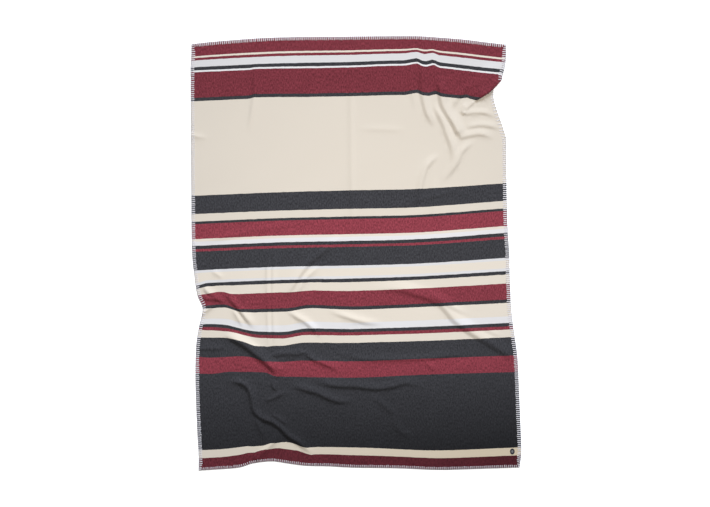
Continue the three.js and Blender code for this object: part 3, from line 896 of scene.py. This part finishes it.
def badge_points(share, turn, height):
    """Places on the badge at a share of the way out, in millimetres above the cloth."""
    x = BADGE["x"] + BADGE["width"] / 2 * share * np.cos(turn)
    y = BADGE["y"] + BADGE["length"] / 2 * share * np.sin(turn)
    surface = cloth_points(*flat_places(np.column_stack((x, y))))[:, 2] + CLOTH_THICKNESS / 2
    return np.column_stack((x, y, surface + height))


def build_badge():
    """A small oval badge with a stitched border and a flat face, and its middle in a second material."""
    segments = 96
    turn = round_angles(segments)
    ridges = BORDER_STITCHES["height"] * np.cos(turn * BORDER_STITCHES["count"])
    rings = []
    for ring in BADGE_RINGS:
        on_border = ring.share > BORDER_STITCHES["inside"] and ring.height > BORDER_STITCHES["above"]
        rings.append(badge_points(ring.share, turn, ring.height + ridges * on_border))
    foot = badge_points(0, turn[:1], BADGE_RINGS[0].height)
    crown = badge_points(0, turn[:1], BADGE_RINGS[-1].height)
    points = np.concatenate((*rings, foot, crown))
    index = np.arange(len(rings) * segments).reshape(len(rings), segments)
    after = np.roll(index, -1, axis=1)
    walls = np.stack((index[:-1], after[:-1], after[1:], index[1:]), axis=-1)
    over = [(a, b, len(points) - 1) for a, b in zip(index[-1], after[-1])]
    under = [(len(points) - 2, b, a) for a, b in zip(index[0], after[0])]
    badge = mesh_object("badge", to_frame(points), [*walls.reshape(-1, 4), *over, *under])
    use_second_material(badge, range(BADGE_MIDDLE_RING * segments, len(rings) * segments))
    return badge


def add_node(tree, kind, inputs=None, **settings):
    """A new node with its settings, and its inputs set to values or joined to other nodes' outputs."""
    node = tree.nodes.new(kind)
    for name, value in settings.items():
        setattr(node, name, value)
    for name, value in (inputs or {}).items():
        if isinstance(value, bpy.types.NodeSocket):
            tree.links.new(value, node.inputs[name])
        else:
            node.inputs[name].default_value = value
    return node


def arithmetic(tree, operation, a, b=0.0):
    return add_node(tree, "ShaderNodeMath", {0: a, 1: b}, operation=operation).outputs[0]


def product(tree, first, *others):
    result = first
    for other in others:
        result = arithmetic(tree, "MULTIPLY", result, other)
    return result


def mixed_colour(tree, share, a, b, blend_type="MIX"):
    inputs = {0: share, 6: a, 7: b}
    return add_node(tree, "ShaderNodeMix", inputs, data_type="RGBA", blend_type=blend_type).outputs[2]


def new_material(name, roughness, sheen, sheen_tint):
    """A wool material: its tree and its surface shader."""
    material = bpy.data.materials.new(name)
    material.use_nodes = True
    tree = material.node_tree
    surface = tree.nodes["Principled BSDF"]
    surface.inputs["Roughness"].default_value = roughness
    surface.inputs["Specular IOR Level"].default_value = 0.15
    surface.inputs["Sheen Weight"].default_value = sheen
    surface.inputs["Sheen Roughness"].default_value = 0.5
    surface.inputs["Sheen Tint"].default_value = sheen_tint
    return material, tree, surface


def stripe_ramp(tree, distance, starts, stripes):
    """A ramp of hard steps. Its colour says which yarn a stripe has, and its alpha the stripe's tone."""
    ramp = add_node(tree, "ShaderNodeValToRGB", {"Fac": distance})
    ramp.color_ramp.interpolation = "CONSTANT"
    elements = ramp.color_ramp.elements
    elements.remove(elements[1])
    for n, (start, stripe) in enumerate(zip(starts, stripes)):
        element = elements[0] if n == 0 else elements.new(max(0, start))
        element.position = max(0, start)
        element.color = (*YARN_MASKS[stripe.yarn], stripe.tone / BRIGHTEST_TONE)
    return ramp


def stripe_pattern(tree, distance):
    """Which yarn each stripe has, and its tone, over the stripes' run in metres, from two ramps."""
    starts = np.cumsum([0] + [stripe.width for stripe in STRIPES[:-1]]) * MM
    ends = starts + np.array([stripe.width for stripe in STRIPES]) * MM
    upper = [n for n in range(len(STRIPES)) if starts[n] < RAMP_REACH]
    lower = [n for n in range(len(STRIPES)) if ends[n] > RAMP_REACH]
    first = stripe_ramp(tree, distance, starts[upper], [STRIPES[n] for n in upper])
    second_distance = arithmetic(tree, "SUBTRACT", distance, RAMP_REACH)
    second = stripe_ramp(tree, second_distance, starts[lower] - RAMP_REACH, [STRIPES[n] for n in lower])
    is_lower = arithmetic(tree, "GREATER_THAN", distance, RAMP_REACH)
    masks = mixed_colour(tree, is_lower, first.outputs["Color"], second.outputs["Color"])
    tone_difference = arithmetic(tree, "SUBTRACT", second.outputs["Alpha"], first.outputs["Alpha"])
    tone_step = product(tree, tone_difference, is_lower)
    tone = arithmetic(tree, "ADD", first.outputs["Alpha"], tone_step)
    return masks, product(tree, tone, BRIGHTEST_TONE)


def noise(tree, vector, scale, detail=2.0, roughness=0.5):
    inputs = {"Vector": vector, "Scale": scale, "Detail": detail, "Roughness": roughness}
    return add_node(tree, "ShaderNodeTexNoise", inputs).outputs["Fac"]


def ranged(tree, value, start, end, low, high):
    """Low where the value is at its start or before it, high at its end or beyond, and even in between."""
    inputs = {"Value": value, "From Min": start, "From Max": end, "To Min": low, "To Max": high}
    return add_node(tree, "ShaderNodeMapRange", inputs).outputs["Result"]


def spread(tree, noise_value, low, high):
    """Spreads a noise from low to high. Most of it lies between 0.3 and 0.7."""
    return ranged(tree, noise_value, 0.3, 0.7, low, high)


def add_bump(tree, surface, height, strength, distance):
    bump = add_node(tree, "ShaderNodeBump", {"Height": height, "Strength": strength, "Distance": distance})
    tree.links.new(bump.outputs["Normal"], surface.inputs["Normal"])


def unsteady_distance(tree, place, distance):
    """The distance down the stripes' run, a little unsteady, so that the stripes' edges are fuzzy."""
    fibres = arithmetic(tree, "SUBTRACT", noise(tree, place, scale=900, detail=3), 0.5)
    drift = arithmetic(tree, "SUBTRACT", noise(tree, place, scale=35), 0.5)
    fuzz = product(tree, fibres, 0.0035)
    wander = product(tree, drift, 0.003)
    return arithmetic(tree, "ADD", distance, arithmetic(tree, "ADD", fuzz, wander))


def yarn_grain(tree, place, coloured):
    """How light the yarn is from spot to spot: heathered where it is coloured, and smooth elsewhere."""
    streaked = add_node(tree, "ShaderNodeVectorMath", {0: place, 1: (1.5, 0.7, 1)}, operation="MULTIPLY")
    heather = noise(tree, streaked.outputs[0], scale=120, detail=4, roughness=0.75)
    speckle = noise(tree, place, scale=800, roughness=0.7)
    clouds = noise(tree, place, scale=14, detail=3, roughness=0.6)
    smooth = spread(tree, noise(tree, place, scale=320), 0.985, 1.015)
    heathered = product(
        tree,
        spread(tree, heather, 0.4, 1.6),
        spread(tree, speckle, 0.8, 1.2),
        spread(tree, clouds, 0.95, 1.05),
    )
    difference = arithmetic(tree, "SUBTRACT", heathered, smooth)
    return arithmetic(tree, "ADD", smooth, product(tree, difference, coloured))


def lower_painted_shade(tree, parts, at_left, at_right):
    """How much painted shade the yarns get from the widest dark stripe down, by shares for the two side
    edges.
    """
    places = (LOWER_PAINTED_SHADE["from"], LOWER_PAINTED_SHADE["to"])
    downwards = ranged(tree, parts.outputs["Y"], *places, 0, LOWER_PAINTED_SHADE["most"])
    across = ranged(tree, parts.outputs["X"], 0, CLOTH_WIDTH * MM, at_left, at_right)
    return product(tree, downwards, across)


def striped_colour(tree, parts, mask):
    """Each stripe's yarn colour. Painted shade makes the cream one darker and yellower lower down, most of
    all on the right.
    """
    yellower = lower_painted_shade(tree, parts, at_left=0.2, at_right=1.6)
    colour = mixed_colour(tree, yellower, YARN_COLOURS["cream"], CREAM_IN_PAINTED_SHADE)
    for channel, yarn in (("Red", "red"), ("Green", "dark"), ("Blue", "white")):
        colour = mixed_colour(tree, mask.outputs[channel], colour, YARN_COLOURS[yarn])
    return colour


def twill_and_nap(tree, place):
    """The height of the weave's diagonal ribs and of the brushed wool over them."""
    inputs = {"Vector": place, "Scale": 130.0, "Distortion": 3.0, "Detail": 2.0, "Detail Scale": 4.0}
    twill = add_node(tree, "ShaderNodeTexWave", inputs, bands_direction="DIAGONAL").outputs["Fac"]
    nap = noise(tree, place, scale=420, detail=4, roughness=0.65)
    return arithmetic(tree, "ADD", product(tree, twill, 0.15), nap)


def cloth_material():
    """Woven wool with cross stripes: heathered red and dark yarns and smooth cream and white ones."""
    material, tree, surface = new_material("striped_wool", 0.92, 0.06, (0.95, 0.95, 1, 1))
    place = add_node(tree, "ShaderNodeAttribute", attribute_name="flat_place").outputs["Vector"]
    parts = add_node(tree, "ShaderNodeSeparateXYZ", {0: place})
    masks, tone = stripe_pattern(tree, unsteady_distance(tree, place, parts.outputs["Y"]))
    mask = add_node(tree, "ShaderNodeSeparateColor", {0: masks})
    coloured = arithmetic(tree, "ADD", mask.outputs["Red"], mask.outputs["Green"])
    # Painted shade: the coloured yarns get darker lower down, and more so towards the right
    darker = product(tree, lower_painted_shade(tree, parts, at_left=0.85, at_right=1.2), coloured)
    kept = arithmetic(tree, "SUBTRACT", 1.0, darker)
    shade = product(tree, yarn_grain(tree, place, coloured), tone, kept)
    shades = add_node(tree, "ShaderNodeCombineColor", {0: shade, 1: shade, 2: shade}).outputs[0]
    colour = mixed_colour(tree, 1.0, striped_colour(tree, parts, mask), shades, "MULTIPLY")
    tree.links.new(colour, surface.inputs["Base Color"])
    add_bump(tree, surface, twill_and_nap(tree, place), strength=0.35, distance=0.0008)
    return material


def yarn_material(name, shades):
    """Wool yarn, a little mottled."""
    material, tree, surface = new_material(name, 0.85, 0.2, (1, 1, 1, 1))
    place = add_node(tree, "ShaderNodeTexCoord").outputs["Object"]
    mottle = noise(tree, place, scale=450, detail=3, roughness=0.6)
    tree.links.new(mixed_colour(tree, mottle, shades.dark, shades.light), surface.inputs["Base Color"])
    fibres = noise(tree, place, scale=1600, detail=3, roughness=0.6)
    add_bump(tree, surface, fibres, strength=0.5, distance=0.0004)
    return material


def badge_material(name, shades):
    """Fine close weave in one colour."""
    material, tree, surface = new_material(name, 0.7, 0.1, (1, 1, 1, 1))
    place = add_node(tree, "ShaderNodeTexCoord").outputs["Object"]
    inputs = {"Vector": place, "Scale": 500.0, "Distortion": 1.0}
    weave = add_node(tree, "ShaderNodeTexWave", inputs).outputs["Fac"]
    tree.links.new(mixed_colour(tree, weave, shades.dark, shades.light), surface.inputs["Base Color"])
    add_bump(tree, surface, weave, strength=0.4, distance=0.0002)
    return material


def build_floor():
    """A plain pale floor, bright enough to read as white all over. Its sizes are in metres."""
    reach = 8
    below = 0.001
    signs = ((-1, -1), (1, -1), (1, 1), (-1, 1))
    corners = [(reach * x, reach * y, -below) for x, y in signs]
    floor = mesh_object("floor", corners, ((0, 1, 2, 3),))
    material = bpy.data.materials.new("pale_floor")
    material.use_nodes = True
    surface = material.node_tree.nodes["Principled BSDF"]
    surface.inputs["Base Color"].default_value = (0.9, 0.9, 0.9, 1)
    surface.inputs["Roughness"].default_value = 0.9
    surface.inputs["Emission Color"].default_value = (1, 1, 1, 1)
    surface.inputs["Emission Strength"].default_value = 0.55
    floor.data.materials.append(material)


def add_light(name, kind, place, target, power, **settings):
    data = bpy.data.lights.new(name, kind)
    data.energy = power
    for key, value in settings.items():
        setattr(data, key, value)
    light = bpy.data.objects.new(name, data)
    light.location = place
    heading = Vector(target) - Vector(place)
    light.rotation_euler = heading.to_track_quat("-Z", "Y").to_euler()
    light.visible_camera = False
    bpy.context.scene.collection.objects.link(light)


def build_lights():
    """A cool soft key from beyond the top hem, a warm soft light over the middle, and a weak even dome."""
    key = {"angle": math.radians(20), "color": (0.93, 1.0, 1.1)}
    add_light("key", "SUN", (1.0, 4.0, 2.9), (0, 0, 0), 2.9, **key)
    over = {"shape": "DISK", "size": 0.8, "color": (1.06, 1.0, 0.91)}
    add_light("over_middle", "AREA", (0.1, 0.3, 2.5), (0.1, 0.25, 0), 35, **over)
    world = bpy.data.worlds.new("soft_dome")
    bpy.context.scene.world = world
    world.use_nodes = True
    background = world.node_tree.nodes["Background"]
    background.inputs["Color"].default_value = (1, 1, 1, 1)
    background.inputs["Strength"].default_value = 0.1


def build_camera():
    """Straight above the blanket, so far up that the folds hardly lean."""
    data = bpy.data.cameras.new("camera")
    data.sensor_width = 36
    data.lens = data.sensor_width * PICTURE["height_above"] / PICTURE["width"]
    camera = bpy.data.objects.new("camera", data)
    x, y, _ = to_frame(np.array(PICTURE["middle"]))
    camera.location = (x, y, PICTURE["height_above"])
    bpy.context.scene.collection.objects.link(camera)
    bpy.context.scene.camera = camera


def build_scene():
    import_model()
    randomly = np.random.default_rng(7)
    bpy.context.scene.view_settings.view_transform = "Standard"
    build_camera()
    build_lights()
    build_floor()

    cloth = build_cloth()
    cloth.data.materials.append(cloth_material())
    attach(cloth, "root")
    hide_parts("blanket_cloth")

    pale_yarn = yarn_material("edging_yarn", PALE_YARN)
    # Painted shade: the rim strands get a darker copy of the yarn.
    shaded_strand_yarn = yarn_material("edging_strands_painted_shade", SHADED_STRAND_YARN)
    for side in STITCHED_SIDES:
        stitching = build_stitching(side, randomly)
        stitching.data.materials.append(pale_yarn)
        stitching.data.materials.append(shaded_strand_yarn)
        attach(stitching, "root")
        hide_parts(f"edge_yarn_{side}")

    badge = build_badge()
    badge.data.materials.append(badge_material("badge_face", BADGE_FACE))
    badge.data.materials.append(badge_material("badge_middle", BADGE_MIDDLE))
    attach(badge, "root")
    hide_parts("corner_badge")


build_scene()
